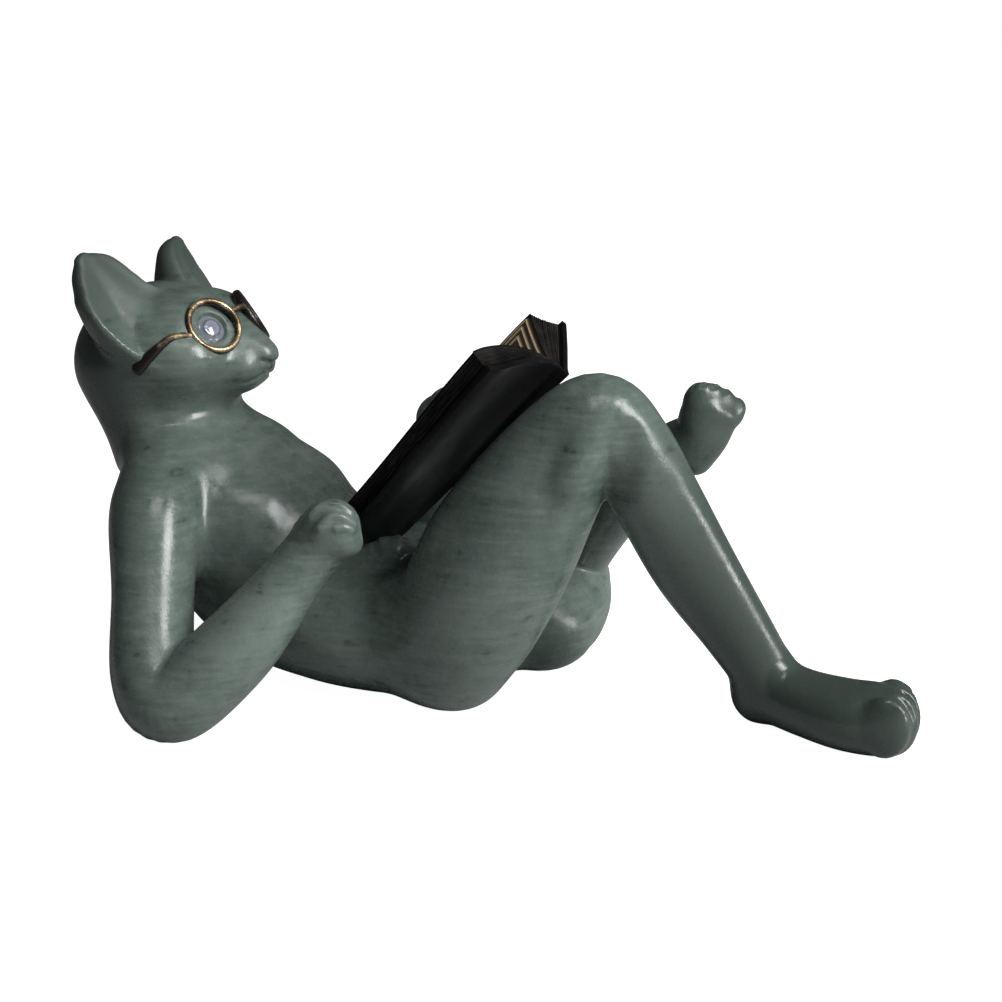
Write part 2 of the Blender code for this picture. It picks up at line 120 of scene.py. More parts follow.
def loft(stations, side, dome):
    """Points, triangles and quads of a domed mass through (x, y, z, half-width, half-height)."""
    path = through(stations, LOFT_STEPS)
    centre = path[:, :3]
    along = ways_along(centre)
    rows = [(centre[i], along[i], path[i, 3], path[i, 4]) for i in range(len(path))]
    for end, sign in ((0, -1), (-1, 1)):
        turn = np.linspace(0, math.pi / 2, CAP_RINGS + 2)[1:-1]
        wide, high = path[end, 3:5]
        caps = [(centre[end] + sign * along[end] * dome * min(wide, high) * math.sin(a),
                 along[end], wide * math.cos(a), high * math.cos(a)) for a in turn]
        rows = caps[::-1] + rows if sign < 0 else rows + caps
    points = LOFT_POINTS
    a = np.linspace(0, 2 * math.pi, points, endpoint=False)[:, None]
    rings = []
    for middle, way, wide, high in rows:
        across = unit(np.cross(way, np.array(side, float)))
        out = unit(np.cross(across, way))
        rings.append(middle + out * wide * np.cos(a) + across * high * np.sin(a))
    verts = np.vstack(rings)
    k = np.arange(points)
    n = (k + 1) % points
    quads = grid_quads(len(rings), points, ring_columns=True)
    first, last = len(verts), len(verts) + 1
    verts = np.vstack([verts, rings[0].mean(0), rings[-1].mean(0)])
    top = (len(rings) - 1) * points
    tris = np.vstack([np.stack([np.full(points, first), n, k], 1),
                      np.stack([np.full(points, last), top + k, top + n], 1)])
    return verts, tris, quads


# ---------------------------------------------------------------- clay


class Clay:
    """Signed distances, in mm, on a grid round the figurine; negative inside."""

    def __init__(self, low, high, grain):
        self.grain = grain
        self.start = np.floor(np.array(low) / grain).astype(int)
        self.shape = tuple(np.ceil(np.array(high) / grain).astype(int) - self.start + 1)
        self.field = np.full(self.shape, FAR, np.float32)
        self.nearest = np.full(self.shape, FAR, np.float32)
        self.owner = np.zeros(self.shape, np.uint8)
        self.part = 0

    def window(self, low, high, pad):
        """Slices of the grid that cover a box, and the x, y and z of their points."""
        a = np.floor((np.array(low) - pad) / self.grain).astype(int) - self.start
        b = np.ceil((np.array(high) + pad) / self.grain).astype(int) - self.start + 1
        a, b = np.clip(a, 0, self.shape), np.clip(b, 0, self.shape)
        place = tuple(slice(i, j) for i, j in zip(a, b))
        axes = [(np.arange(i, j) + s) * self.grain for i, j, s in zip(a, b, self.start)]
        return place, np.meshgrid(*[x.astype(np.float32) for x in axes], indexing="ij",
                                  sparse=True)

    def press(self, place, distance, soft):
        """Adds a mass, with a fillet of about that size where it meets what is there."""
        own = self.nearest[place]
        closer = distance < own
        self.owner[place][closer] = self.part
        own[closer] = distance[closer]
        self.field[place] = soft_min(self.field[place], distance, soft)

    def dig(self, place, distance, soft):
        """Takes a mass away, with an edge as round as that."""
        self.field[place] = -soft_min(-self.field[place], distance, soft)

    def lofted(self, stations, side, dome=0.75):
        """Where a loft lies on the grid, the points there, and their distances to it."""
        verts, tris, quads = loft(stations, side, dome)
        place, axes = self.window(verts.min(0), verts.max(0), FAR)
        band = FAR / self.grain
        grid = openvdb.FloatGrid.createLevelSetFromPolygons(
            (verts / self.grain).astype(np.float32), tris.astype(np.uint32),
            quads.astype(np.uint32), openvdb.createLinearTransform(1.0), band, band)
        distance = np.empty([s.stop - s.start for s in place], np.float32)
        grid.copyToArray(distance, ijk=tuple(int(s.start + o) for s, o in
                                             zip(place, self.start)))
        return place, axes, distance * self.grain

    def limb(self, stations, side=(0, 1, 0), soft=4.0):
        """A loft, pressed on."""
        place, _, distance = self.lofted(stations, side)
        self.press(place, distance, soft)

    def shell(self, stations, side, hollow, radius, rim, soft):
        """A blunt loft whose front a large ball hollows, pressed on."""
        place, (x, y, z), distance = self.lofted(stations, side, dome=0.6)
        ball = np.sqrt((x - hollow[0]) ** 2 + (y - hollow[1]) ** 2 + (z - hollow[2]) ** 2)
        self.press(place, -soft_min(-distance, ball - radius, rim), soft)

    def ball(self, centre, radii, turn=(0, 0, 0), soft=4.0, cut=False):
        """An ellipsoid, turned by degrees about x, y and z, pressed on or cut away."""
        spin = Matrix.Identity(3)
        for axis, degrees in zip("XYZ", turn):
            spin = Matrix.Rotation(math.radians(degrees), 3, axis) @ spin
        back = np.array(spin.inverted(), np.float32)
        centre = np.array(centre, float)
        reach = max(radii)
        place, (x, y, z) = self.window(centre - reach, centre + reach, max(2 * soft, 3.0))
        x, y, z = x - centre[0], y - centre[1], z - centre[2]
        k0 = k1 = 0
        for row, r in zip(back, radii):
            along = row[0] * x + row[1] * y + row[2] * z
            k0 = k0 + (along / r) ** 2
            k1 = k1 + (along / r**2) ** 2
        k0 = np.sqrt(k0)
        distance = (k0 * (k0 - 1) / np.maximum(np.sqrt(k1), 1e-6)).astype(np.float32)
        distance = np.where(k0 < 1e-3, -min(radii), distance).astype(np.float32)
        (self.dig if cut else self.press)(place, distance, soft)

    def cord(self, points, radius, soft=0.5, cut=True, steps=6):
        """A round rod along a curve of (x, y, z) or (x, y, z, radius) points."""
        rows = through(points, steps)
        if rows.shape[1] == 3:
            rows = np.hstack([rows, np.full((len(rows), 1), radius)])
        place, (x, y, z) = self.window(rows[:, :3].min(0), rows[:, :3].max(0),
                                       rows[:, 3].max() + max(2 * soft, 1.5))
        best = None
        for a, b in zip(rows, rows[1:]):
            way = b[:3] - a[:3]
            dx, dy, dz = x - a[0], y - a[1], z - a[2]
            t = np.clip((dx * way[0] + dy * way[1] + dz * way[2]) / max(way @ way, 1e-9), 0, 1)
            gap = np.sqrt((dx - t * way[0]) ** 2 + (dy - t * way[1]) ** 2
                          + (dz - t * way[2]) ** 2) - (a[3] + t * (b[3] - a[3]))
            best = gap if best is None else np.minimum(best, gap)
        (self.dig if cut else self.press)(place, best.astype(np.float32), soft)

    def touch(self, start, way):
        """Where a line from a point inside leaves the clay."""
        reach = np.arange(0, 45, 0.1)
        line = np.array(start, float) + unit(np.array(way, float)) * reach[:, None]
        value = between(self.field, line / self.grain - self.start)
        return line[np.argmax(value > 0)]

    def soften(self, sigma):
        """Smooths the clay by a bell curve of that width."""
        taps = np.arange(-3, 4)
        weights = np.exp(-0.5 * (taps * self.grain / sigma) ** 2)
        weights /= weights.sum()
        for axis in range(3):
            padded = np.pad(self.field, [(3, 3) if i == axis else (0, 0) for i in range(3)],
                            mode="edge")
            made = np.zeros_like(self.field)
            for tap, weight in zip(range(7), weights):
                cut = [slice(None)] * 3
                cut[axis] = slice(tap, tap + self.shape[axis])
                made += np.float32(weight) * padded[tuple(cut)]
            self.field = made

    def hollow(self, points):
        """How deep each point lies in a crease or recess, in mm; negative on a crest."""
        step = max(1, round(1.5 / self.grain))
        rough = np.clip(self.field[::step, ::step, ::step], -FAR, FAR)
        reach = max(1, round(2.5 / (self.grain * step)))
        taps = np.exp(-0.5 * (np.arange(-2 * reach, 2 * reach + 1) / reach) ** 2)
        taps /= taps.sum()
        for axis in range(3):
            rough = np.apply_along_axis(lambda line: np.convolve(
                np.pad(line, 2 * reach, mode="edge"), taps, mode="valid"), axis, rough)
        return -between(rough, (points / self.grain - self.start) / step)

    def skin(self):
        """Vertices in mm, quads and each quad's part."""
        edge = 3 * self.grain
        clipped = np.clip(self.field, -edge, edge)
        grid = openvdb.FloatGrid(edge)
        grid.copyFromArray(clipped, ijk=tuple(int(s) for s in self.start), tolerance=1e-6)
        points, quads = grid.convertToQuads(0.0)
        quads = quads.astype(int)
        middle = points[quads].mean(1)
        cell = np.clip(np.round(middle).astype(int) - self.start, 0, np.array(self.shape) - 1)
        return points * self.grain, quads, self.owner[tuple(cell.T)]


def between(grid, place):
    """Values of a grid at places between its points."""
    low = np.clip(np.floor(place).astype(int), 0, np.array(grid.shape) - 2)
    part = place - low
    value = 0
    for corner in np.ndindex(2, 2, 2):
        share = np.where(np.array(corner) == 1, part, 1 - part).prod(1)
        value = value + share * grid[tuple((low + corner).T)]
    return value


def soft_min(a, b, soft):
    """The lesser of two distances, with a fillet where they cross."""
    h = np.clip(soft - np.abs(a - b), 0, None) / soft
    return np.minimum(a, b) - h * h * soft * 0.25


# ---------------------------------------------------------------- the cat


MUZZLE, MOUTH = (-70, 0, 88), (-70, 0, 85)  # the nose and the smile are drawn from here
LENS = (-68.7, 10.6, 99.6)  # centre of the left lens
LENS_TURN, LENS_TILT = 31, 32  # degrees outward and upward


def model_torso(clay):
    clay.limb([
        (4, 0, 19, 26, 18.5), (-12, 0, 19.5, 31, 20.5), (-34, 0, 22.5, 33, 23),
        (-54, 0, 31, 32, 27), (-70, 0, 47, 31, 25), (-79.5, 0, 58, 27, 19.5), (-87, 0, 64, 22, 16),
    ])
    for side in (-1, 1):
        clay.ball((-58, side * 13.2, 45.6), (15, 14, 12.2), (0, -42, 0), 5)  # breast
        clay.ball((-71.5, side * 11.5, 56.2), (13, 13, 9.6), (0, -42, 0), 5)  # upper chest
        clay.ball((-80, side * 19, 56.5), (12, 11, 11.5), soft=5)  # shoulder
        clay.ball((-22, side * 9, 37), (13, 9, 6), (0, -8, 0), 5)  # belly
        clay.ball((-2, side * 15, 19), (17, 15, 17), soft=6)  # haunch


def detail_torso(clay):
    """A small creased mound on the belly, below the foot of the book."""
    clay.ball((-17, -10.5, 42.2), (5.5, 5.5, 2.4), (0, -10, 0), 2.0)
    for folds in ([(-20.5, -10, 43.6), (-19, -12.6, 44), (-17.6, -14.6, 42.6)],
                  [(-16, -8.6, 44.4), (-14.4, -11.8, 44), (-13.4, -14.8, 41.8)],
                  [(-22.5, -13, 42.4), (-21, -15.4, 42)]):
        clay.cord(folds, 0.75, soft=1.0, cut=False)


def model_head(clay):
    clay.ball((-91.2, 0, 89), (23.8, 25.2, 20.5), soft=4)
    clay.limb([(-93.8, 0, 86, 22, 20.4), (-91.6, 0, 76, 21.5, 18.6), (-87.8, 0, 65, 20.5, 17.6)],
              soft=6)
    for side in (-1, 1):
        clay.ball((-80.5, side * 12.0, 91), (15, 13.0, 10), soft=6)  # cheek
        clay.ball((-77, side * 9, 99.5), (10, 8, 6.5), (0, 22, 0), 4)  # brow
        clay.ball((-64.6, side * 3.8, 87.8), (5.2, 5.0, 4.4), soft=4)  # whisker pad
    clay.limb([(-80, 0, 99, 10, 8), (-70, 0, 96, 7, 6.4), (-61.9, 0, 93.2, 4.6, 4.0)], soft=4)
    clay.ball((-69, 0, 88), (9.5, 10, 7), soft=6)  # muzzle
    clay.limb([(-86, 0, 83, 15, 11), (-76, 0, 84.6, 10, 7.4), (-67.4, 0, 85.6, 5, 4.2)], soft=6)


def detail_head(clay):
    """Nose, mouth, lids and sockets, made after the masses are smoothed."""
    clay.ball((-59.0, 0, 90.8), (3.8, 3.9, 3.6), soft=2.6)  # nose
    for side in (-1, 1):
        centre, look, across, upright = lens_axes(side)
        clay.ball(centre + look * 4.0, (7.2, 7.2, 7.2), soft=1.2, cut=True)  # socket
        lid = [centre - look * 1.5 + (across * math.cos(a) + upright * math.sin(a)) * 4.9
               for a in np.linspace(0, 2 * math.pi, 13)]
        clay.cord(lid, 0.62, soft=0.5, cut=False, steps=3)
        nostril = [clay.touch(MUZZLE, way) for way in (
            (12.4, side * 4.4, 1.6), (12.6, side * 2.6, 0.9), (12.8, side * 0.6, 0.3))]
        clay.cord(nostril, 0.85, soft=0.5)
        smile = [clay.touch(MOUTH, way) for way in (
            (11.6, 0, 1.4), (11.2, side * 1.9, 0.4), (10.2, side * 4.0, -0.4),
            (9.0, side * 5.7, -1.1), (7.2, side * 7.2, -1.6))]
        clay.cord([(*q, r) for q, r in zip(smile, (0.6, 0.8, 0.8, 0.7, 0.4))], 0.5, soft=0.4)
    parting = [clay.touch(MUZZLE, (13, 0, rise)) for rise in (0.2, -1.6)]
    clay.cord(parting, 0.35, soft=0.4)


def lens_axes(side):
    """Centre of a lens, and its forward, sideways and upward directions."""
    turn, tilt = math.radians(side * LENS_TURN), math.radians(LENS_TILT)
    look = np.array([math.cos(turn) * math.cos(tilt), math.sin(turn) * math.cos(tilt),
                     math.sin(tilt)])
    across = np.array([-math.sin(turn), math.cos(turn), 0])
    centre = np.array(LENS) * (1, side, 1)
    return centre, look, across, np.cross(look, across)


def model_ear(clay, side):
    """A pointed shell whose face looks forward and a little outward, over a fuller back."""
    clay.limb([(-91, side * 14, 97, 9, 9), (-95.8, side * 16, 105.5, 6.6, 6.6),
               (-98.4, side * 18.6, 111.5, 4.4, 4.2), (-99.7, side * 21.6, 116.4, 2.2, 2.2)],
              soft=2.5)
    face = np.array([0.823, side * 0.244, 0.514])
    radius = 60
    hollow = np.array([-91, side * 20.5, 107]) + face * (radius - 1)
    back = [1.0, 1.6, 2.2, 2.6, 2.8, 2.4, 1.6, 0.6]
    rows = [
        (-79, side * 14, 92, 11, 13), (-84.5, side * 16.6, 99, 12.6, 12),
        (-87.6, side * 18.2, 102.6, 12.8, 11), (-90.2, side * 19.8, 105.7, 12.4, 9.5),
        (-92.7, side * 20.8, 109.3, 11.6, 8), (-95.3, side * 22.0, 113.2, 9.8, 6.2),
        (-97.6, side * 23.6, 116.2, 6.8, 4.6), (-99.4, side * 24.9, 118.4, 2.6, 2.0),
    ]
    clay.shell([(*(np.array(r[:3]) - face * d), *r[3:]) for r, d in zip(rows, back)],
               (-0.04, -side * 0.87, 0.49), hollow, radius, rim=0.9, soft=1.6)
    clay.ball((-102, side * 32.5, 96), (8, 5, 9), soft=4, cut=True)  # hollow behind the ear


def model_right_arm(clay):
    clay.limb([
        (-80, -19, 58, 12, 12), (-76.5, -32, 51, 12.8, 12.4), (-70.5, -45, 34, 10.8, 10.8),
        (-64, -57, 16, 11.2, 11), (-56, -59.8, 11.2, 11.2, 11), (-42, -51, 25, 10.4, 10.4),
        (-31, -41.5, 41.5, 8, 8), (-25.5, -37.5, 49.5, 7.8, 7.4),
    ], side=(0.8, -0.5, 0.2), soft=5)
    clay.ball((-23.5, -36.5, 53), (7.2, 7.6, 7.4), (0, -50, 10), 3)


def detail_right_arm(clay):
    """A mitt with its bent fingers in relief."""
    clay.ball((-21.0, -37.8, 54.6), (7.1, 6.6, 7.4), (0, -8, 20), 2.0)
    clay.ball((-17.6, -38.2, 51.0), (4.6, 4.4, 3.4), (0, 10, 20), 2.4)
    palm = (-21, -37, 54.5)
    for size, ways in (
            (1.0, ((-3.6, -5.4, 3.6), (-1.4, -4.2, 6.8), (2.2, -2.8, 7.0), (5.4, -1.6, 4.6))),
            (1.0, ((-0.6, -6.4, 1.4), (1.6, -5.6, 4.0), (4.4, -4.2, 3.9), (7.0, -2.2, 1.8))),
            (0.6, ((3.2, -6.0, 1.2), (5.1, -4.6, 1.3), (6.4, -3.2, 0.2)))):
        clay.cord([clay.touch(palm, way) for way in ways], size, soft=0.9, cut=False)


def model_left_arm(clay):
    clay.limb([
        (-83, 18, 55, 12, 12), (-81, 31, 47, 12.2, 11.8), (-70, 45, 30, 10.8, 10.6),
        (-58, 55, 14, 11.2, 10.8), (-48, 56.2, 11.4, 11.2, 11), (-34, 49, 32, 9.6, 9.6),
        (-22, 39.5, 54, 7.8, 7.8), (-17.5, 35.5, 63, 7.2, 7),
    ], side=(0.8, 0.5, 0.2), soft=5)
    clay.ball((-20, 33, 69), (7.4, 7.4, 7.0), (0, -40, 0), 3)


def detail_left_arm(clay):
    """Three bent fingers, behind the book."""
    for k in range(3):
        clay.ball((-16 - k, 29.5 + 3.4 * k, 75 - 2.8 * k), (6.4, 3.6, 4.2), (0, -20, 0), 1.2)


def model_right_leg(clay):
    clay.limb([
        (0, -17.5, 18.5, 17, 18.8), (9, -21, 30, 17.5, 19.5), (19, -22, 49, 16.5, 19.5),
        (31.5, -20.5, 70, 13, 15.6), (42.5, -18, 83, 11.6, 12), (50.2, -15.5, 76, 10.6, 11.2),
        (57, -13, 63.1, 10, 11.2), (66.1, -9, 45.2, 8.8, 11.0), (75.9, -3.5, 28.4, 8.0, 9.4),
        (82.5, 0, 17, 7.6, 8.4),
    ], soft=7)
    clay.limb([(44.2, -24.2, 84.6, 5, 5), (41.6, -26.2, 78.4, 6, 6), (38.6, -27.6, 70.4, 6, 6),
               (34, -28, 61, 4, 4)], soft=1.8)  # thigh muscle
    knee_hollow = [(54, -28.2, 81), (53.4, -28.2, 75), (50.6, -27.2, 69), (47, -25, 63.5)]
    clay.cord(knee_hollow, 2.6, soft=5)
    clay.ball((82, 2.6, 9.2), (7.4, 7.2, 8.0), soft=4)  # heel
    clay.limb([
        (84, 1.5, 11.2, 7.6, 9.2), (94, -2.6, 9.8, 9.2, 8.6), (105, -5.8, 9.2, 10.6, 9.0),
        (113, -7.2, 9.4, 9.8, 9.4), (117.6, -7.4, 9.6, 8.8, 8.8),
    ], soft=4)


def detail_right_leg(clay):
    """Four toes, the grooves between them, and their nails."""
    pitch = 4.5
    for k in range(4):
        x, y = 118.6 - abs(k - 1.6) * 1.2, -14.2 + k * pitch
        clay.ball((x, y, 10.2), (5.8, 2.8, 8.0), soft=1.6)
    for k in range(3):
        y = -11.9 + k * pitch
        groove = [(109, y + 0.9, 18.6), (114, y, 19.2), (119.6, y, 17.8), (124, y, 11),
                  (124, y, 4)]
        clay.cord(groove, 0.55, soft=0.9)
    for k in range(4):
        x, y = 122.0 - abs(k - 1.6) * 1.4, -14.3 + k * pitch
        clay.ball((x, y, 15.6), (1.8, 1.5, 1.2), (0, 45, 0), 0.5)


def model_left_leg(clay):
    clay.limb([
        (8, 15, 18, 15, 16), (17, 22, 13.8, 13.6, 13.4), (17.4, 38, 15, 13.0, 12.8),
        (14.3, 51, 18, 12.4, 12.4), (16, 47.5, 26, 11, 11), (26.4, 38, 40.4, 10, 10),
        (40.5, 24.5, 56.6, 9.2, 9), (51, 13, 67, 8, 7.6), (57.5, 6.5, 72.5, 6.6, 6.6),
    ], soft=4)
    clay.limb([
        (60.3, 5.4, 71.6, 7.2, 7.6), (63.9, 5.0, 76.6, 7.2, 7.2), (65.7, 4.4, 81.2, 7.8, 6.0),
        (66.8, 4.4, 83.2, 8.0, 5.6),
    ], side=(0.62, 0.55, -0.55), soft=3)


def detail_left_leg(clay):
    """Four toes in a bow across the raised foot, with thin creases beside them."""
    for k in range(4):
        shift = k - 1.5
        lift = 84.6 - shift * 1.6 + 0.5 * (2.25 - shift**2)
        clay.ball((67.3 + shift * 2.4, 4.4 + shift * 2.3, lift), (3.3, 3.0, 4.2),
                  (0, 38, 0), 1.6)
    for k in range(4):
        shift = k - 1.6
        start = (66.4 + shift * 2.4, 4.4 + shift * 2.3, 84.0 - shift * 2.1)
        crease = [clay.touch(start, way) for way in ((2.6, 1, 6), (1.2, -1.6, 6), (0, -3.6, 5))]
        clay.cord(crease, 0.4, soft=0.6, steps=3)


def model_tail(clay):
    clay.limb([
        (-8, 18, 10, 6.5, 6.5), (-14, 32, 7, 6.2, 6.2), (-24, 41, 6, 5.8, 5.8),
        (-38, 42, 5.8, 5.6, 5.6), (-47, 34, 5.8, 5.6, 5.4), (-52, 27, 6, 5, 5),
    ], side=(1, 0, 0), soft=3)


def model_cat():
    """The whole cat in clay, stood on the shelf."""
    low = np.array(cad_low) / MM - ANCHOR - MARGIN
    high = np.array(cad_high) / MM - ANCHOR + MARGIN
    clay = Clay(low, high, GRAIN)
    masses = {"torso": model_torso, "head": model_head, "right_arm": model_right_arm,
              "left_arm": model_left_arm, "right_leg": model_right_leg,
              "left_leg": model_left_leg, "tail": model_tail}
    details = {"torso": detail_torso, "head": detail_head,
               "right_ear": lambda c: model_ear(c, -1), "left_ear": lambda c: model_ear(c, 1),
               "right_arm": detail_right_arm, "left_arm": detail_left_arm,
               "right_leg": detail_right_leg, "left_leg": detail_left_leg}
    for part, make in masses.items():
        clay.part = PARTS.index(part)
        make(clay)
    clay.soften(MELT)
    for part, make in details.items():
        clay.part = PARTS.index(part)
        make(clay)
    _, (x, y, z) = clay.window(low, high, FAR)
    clay.field = -soft_min(-clay.field, z - SHELF, 0.8)
    return clay


def settle(quads, owner):
    """Gives each island of a part to the part round it, and drops what touches nothing."""
    edges = np.sort(np.stack([quads, np.roll(quads, -1, 1)], -1).reshape(-1, 2), 1)
    key = edges[:, 0] * (quads.max() + 1) + edges[:, 1]
    order = np.argsort(key, kind="stable")
    shared = key[order][1:] == key[order][:-1]
    a, b = order[:-1][shared] // 4, order[1:][shared] // 4
    inside = owner[a] == owner[b]
    p, q = a[inside], b[inside]
    label = np.arange(len(quads))
    while (label[p] != label[q]).any():
        first, second = label[p], label[q]
        low = np.minimum(first, second)
        np.minimum.at(label, first, low)
        np.minimum.at(label, second, low)
        label = label[label]
    size = np.bincount(label, minlength=len(quads))
    stray = np.ones(len(quads), bool)
    for part in range(len(PARTS)):
        mine = np.flatnonzero(owner == part)
        stray[mine] = label[mine] != label[mine][np.argmax(size[label[mine]])]
    found = True
    while found:
        found = False
        for near, far in ((a, b), (b, a)):
            hit = stray[near] & ~stray[far]
            owner[near[hit]] = owner[far[hit]]
            stray[near[hit]] = False
            found = found or hit.any()
    return quads[~stray], owner[~stray]


def vertex_normals(points, quads):
    """Area-weighted normals of the whole skin, so that no seam shows between its pieces."""
    corners = points[quads]
    flat = np.cross(corners[:, 2] - corners[:, 0], corners[:, 3] - corners[:, 1])
    total = np.zeros_like(points)
    for k in range(4):
        np.add.at(total, quads[:, k], flat)
    return unit(total)


def mesh_object(name, points, faces):
    """A smooth mesh from an array of points and one array of faces, or a list of them."""
    faces = faces if isinstance(faces, list) else [faces]
    mesh = bpy.data.meshes.new(name)
    mesh.vertices.add(len(points))
    mesh.vertices.foreach_set("co", np.asarray(points, np.float32).ravel())
    corners = np.concatenate([f.ravel() for f in faces]).astype(np.int32)
    mesh.loops.add(len(corners))
    mesh.loops.foreach_set("vertex_index", corners)
    sizes = np.concatenate([np.full(len(f), f.shape[1]) for f in faces])
    mesh.polygons.add(len(sizes))
    mesh.polygons.foreach_set("loop_start", (np.cumsum(sizes) - sizes).astype(np.int32))
    mesh.update(calc_edges=True)
    mesh.shade_smooth()
    obj = bpy.data.objects.new(name, mesh)
    bpy.context.scene.collection.objects.link(obj)
    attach(obj, "root")
    return obj


def add_values(piece, name, values):
    """Gives each vertex a number that the materials read by name."""
    piece.data.attributes.new(name, "FLOAT", "POINT").data.foreach_set(
        "value", np.asarray(values, np.float32))


def make_skin(glaze):
    """The glazed pieces, divided where the parts meet."""
    clay = model_cat()
    points, quads, owner = clay.skin()
    quads, owner = settle(quads, owner)
    normals = vertex_normals(points, quads)
    hollow = clay.hollow(points)
    points = (points + ANCHOR) * MM
    for number, part in enumerate(PARTS):
        mine = quads[owner == number]
        used, faces = np.unique(mine, return_inverse=True)
        piece = mesh_object(part + "_skin", points[used], faces.reshape(-1, 4))
        piece.data.normals_split_custom_set_from_vertices(normals[used])
        # Depth in creases, read by the glaze's painted shade in recesses.
        add_values(piece, "hollow", hollow[used])
        piece.data.materials.append(glaze)
        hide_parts(part)


# ---------------------------------------------------------------- book


SPINE_TOP, SPINE_FOOT = np.array([28.8, 0, 91.0]), np.array([-20.2, 0, 41.8])
SPINE = np.linalg.norm(SPINE_TOP - SPINE_FOOT)
OPENING = {-1: (69.0, 75.0), 1: (65.0, 58.0)}  # degrees from the reader's sight, head and foot
BOARD = 1.5  # thickness of a board
SHY = 0.9  # how far the pages stop short of the boards at the head and the foot
SHEAVES = 5  # layers of leaves that show on a block's edges
FRAME_PITCH, FRAMES_WIDE = 2.1, 9.6  # raised frames round an open page
ROW_PITCH, ROWS_FROM = 2.4, 10.4  # raised rows inside the frames
RELIEF = 0.4
# (across from the spine, above the board's plane) at the head of the book and at its foot
BOARDS = {
    -1: ([(0, 0.6), (2, 3.7), (9, 3.8), (16, 2.7), (25, 0.3), (33, -2.1), (39, -3.0)],
         [(0, 0.4), (4, 0.9), (9, 0.7), (15, 0.4), (20, 0.1), (25, -0.3), (30.5, -0.6)]),
    1: ([(0, 0.6), (3, 0.9), (9, 0.9), (15, 0.9), (20, 1.0), (25, 1.1), (29.0, 1.3)],
        [(0, 0.4), (4, 0.6), (9, 0.5), (14, 0.3), (19, 0.1), (24, 0), (28.5, 0)]),
}
LEAVES = {
    -1: ([(0.5, 3.4), (3, 6.0), (8, 7.3), (14, 7.6), (22, 6.9), (32, 4.6), (39.4, 2.0)],
         [(0.5, 2.4), (4, 4.2), (9, 5.0), (15, 5.4), (21, 5.2), (26, 4.8), (31, 4.0)]),
    1: ([(0.5, 3.2), (2, 4.8), (6, 6.9), (10, 8.6), (14, 10.0), (18, 11.2), (20.6, 11.6)],
        [(0.5, 2.0), (4, 3.6), (9, 4.4), (14, 4.8), (19, 4.8), (23, 4.5), (26.5, 3.8)]),
}


def book_point(across, along, above, side):
    """Points of the open book, in mm from the rump, from arrays of the same shape."""
    up = (SPINE_TOP - SPINE_FOOT) / SPINE
    back = -np.cross((0, 1, 0), up)  # from the spine towards the reader
    head, foot = OPENING[side]
    turn = np.radians(head + (foot - head) * along / SPINE)[..., None]
    out = np.array([0, side, 0])
    outward = back * np.cos(turn) + out * np.sin(turn)
    inward = back * np.sin(turn) - out * np.cos(turn)
    return (SPINE_TOP + outward * across[..., None] - up * along[..., None]
            + inward * above[..., None])


def profile(pair, t, s):
    """(across, above) at t from the spine to the fore-edge and s from the head to the foot."""
    rows = [through(points, 12) for points in pair]
    place = t * (len(rows[0]) - 1)
    ease = s * s * (3 - 2 * s)
    made = []
    for axis in (0, 1):
        head, foot = (np.interp(place, np.arange(len(r)), r[:, axis]) for r in rows)
        made.append(head + (foot - head) * ease)
    return made


def box_grid(n):
    """Integer points on the surface of a box of n cells each way, and its outward quads."""
    index, points, quads = {}, [], []
    for axis in range(3):
        a, b = (axis + 1) % 3, (axis + 2) % 3
        for end in (0, n[axis]):
            for i in range(n[a]):
                for j in range(n[b]):
                    ring = []
                    for di, dj in ((0, 0), (1, 0), (1, 1), (0, 1)):
                        p = [0, 0, 0]
                        p[axis], p[a], p[b] = end, i + di, j + dj
                        p = tuple(p)
                        if p not in index:
                            index[p] = len(points)
                            points.append(p)
                        ring.append(index[p])
                    quads.append(ring if end else ring[::-1])
    return np.array(points, float), np.array(quads)


def ripple(x, seed):
    """A smooth wandering line, about -1 to 1, from a few sines."""
    return (np.sin(x * 1.0 + seed) + 0.6 * np.sin(x * 2.3 + 2.1 * seed)
            + 0.4 * np.sin(x * 4.9 + 0.7 * seed)) / 2


def page_relief(t, along, across, layer):
    """How proud the frames and rows of an open page stand, 0 to 1, and how far its edge is."""
    margin = np.minimum(np.minimum(across.max() * (1 - t), along - SHY), SPINE - SHY - along)
    frames = np.clip(1.5 * np.cos(margin * 2 * math.pi / FRAME_PITCH) - 0.2, 0, 1)
    frames = frames * (margin < FRAMES_WIDE)
    wave = along * 2 * math.pi / ROW_PITCH + 0.5 * ripple(2.0 * across, 3)
    rows = np.clip(1.4 * np.cos(wave) - 0.3, 0, 1) * (margin > ROWS_FROM) * (t > 0.15)
    breaks = ripple(across * 1.7 + layer + np.floor(along / ROW_PITCH) * 5, 1)
    return np.maximum(frames, rows * (breaks > -0.45)), margin


